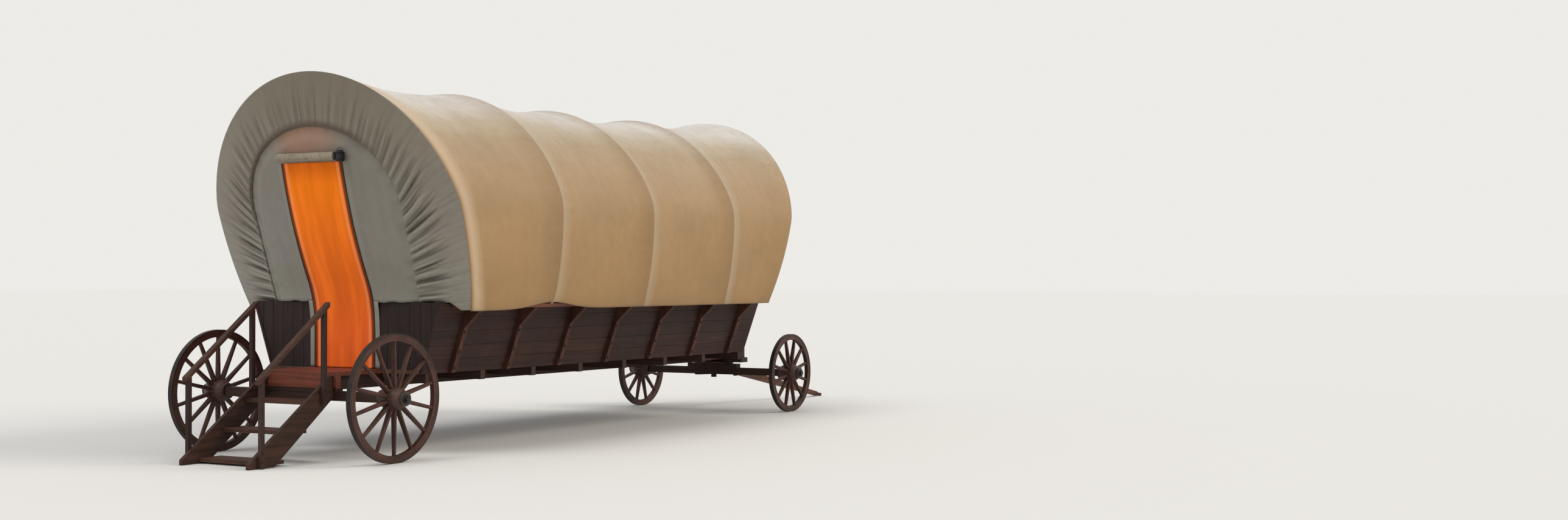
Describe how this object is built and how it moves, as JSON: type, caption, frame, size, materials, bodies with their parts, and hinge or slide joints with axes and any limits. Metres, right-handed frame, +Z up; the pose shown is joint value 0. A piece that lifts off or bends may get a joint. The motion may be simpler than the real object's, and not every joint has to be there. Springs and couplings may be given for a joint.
{
  "type": "covered wagon",
  "caption": "Camping wagon: flared plank box under a hooped canvas cover, porch with stairs and handrails, spoked wheels, steered towing axle with drawbar.",
  "frame": {"origin": "on the ground under the middle of the whole wagon, stairs and drawbar included", "axes": "+Z up, +X across to the wagon's visible side, the door end faces -Y and the drawbar points to +Y"},
  "size_m": [3.22, 11.474, 3.745],
  "materials": {
    "canvas": "off-white canvas",
    "door_cloth": "orange canvas",
    "dark_trim": "dark zip tape",
    "wall_wood": "dark red-brown stain",
    "trim_wood": "red-brown stain",
    "floor_wood": "oiled boards",
    "frame_wood": "dark stain",
    "bow_wood": "bent ash",
    "porch_wood": "red-brown stain",
    "stair_wood": "worn stain",
    "rail_wood": "weathered pale boards",
    "wheel_wood": "red-brown stain",
    "hub_wood": "red-brown stain",
    "drawbar_wood": "dark stain",
    "iron": "dull black iron",
    "black_metal": "satin black"
  },
  "bodies": {
    "wagon": {"main_sills": "frame_wood", "cross_bearers": "frame_wood", "floor_boards": "floor_wood", "side_wall_left": "wall_wood", "side_wall_right": "wall_wood", "side_ribs_left": "wall_wood", "side_ribs_right": "wall_wood", "hoop_ledge_left": "trim_wood", "hoop_ledge_right": "trim_wood", "door_end_wall": "wall_wood", "towing_end_wall": "wall_wood", "cover_bows": "bow_wood", "cover_panel_1": "canvas", "cover_panel_2": "canvas", "cover_panel_3": "canvas", "cover_panel_4": "canvas", "door_end_band": "canvas", "towing_end_band": "canvas", "door_end_canvas": "canvas", "towing_end_canvas": "canvas", "door_flap": "door_cloth", "door_piping": "dark_trim", "door_blind_roll": "canvas", "door_lantern": "black_metal", "porch_boards": "porch_wood", "porch_beam": "porch_wood", "stair_stringers": "stair_wood", "stair_treads": "stair_wood", "stair_posts": "rail_wood", "handrails": "rail_wood", "fixed_axle": "frame_wood", "towing_bolster": "frame_wood", "reach_pole": "frame_wood"},
    "porch_wheel_left": {"porch_wheel_left_hub": "hub_wood", "porch_wheel_left_spokes": "wheel_wood", "porch_wheel_left_tyre": "iron"},
    "porch_wheel_right": {"porch_wheel_right_hub": "hub_wood", "porch_wheel_right_spokes": "wheel_wood", "porch_wheel_right_tyre": "iron"},
    "turning_gear": {"steered_axle": "frame_wood", "hounds": "iron"},
    "towing_wheel_left": {"towing_wheel_left_hub": "hub_wood", "towing_wheel_left_spokes": "wheel_wood", "towing_wheel_left_tyre": "iron"},
    "towing_wheel_right": {"towing_wheel_right_hub": "hub_wood", "towing_wheel_right_spokes": "wheel_wood", "towing_wheel_right_tyre": "iron"},
    "drawbar": {"drawbar": "drawbar_wood"}
  },
  "joints": [
    {"name": "porch_wheel_left_spin", "type": "hinge", "parent": "wagon", "child": "porch_wheel_left", "pos_m": [-1.16, -4.61202, 0.61], "axis": [1, 0, 0], "continuous": true},
    {"name": "porch_wheel_right_spin", "type": "hinge", "parent": "wagon", "child": "porch_wheel_right", "pos_m": [1.16, -4.61202, 0.61], "axis": [1, 0, 0], "continuous": true},
    {"name": "steering", "type": "hinge", "parent": "wagon", "child": "turning_gear", "pos_m": [0, 2.85298, 0.5], "axis": [0, 0, 1], "range_deg": [-20, 20]},
    {"name": "towing_wheel_left_spin", "type": "hinge", "parent": "turning_gear", "child": "towing_wheel_left", "pos_m": [-1.16, 2.85298, 0.5], "axis": [1, 0, 0], "continuous": true},
    {"name": "towing_wheel_right_spin", "type": "hinge", "parent": "turning_gear", "child": "towing_wheel_right", "pos_m": [1.16, 2.85298, 0.5], "axis": [1, 0, 0], "continuous": true},
    {"name": "drawbar_lift", "type": "hinge", "parent": "turning_gear", "child": "drawbar", "pos_m": [0, 3.41298, 0.47], "axis": [1, 0, 0], "range_deg": [0, 70]}
  ]
}
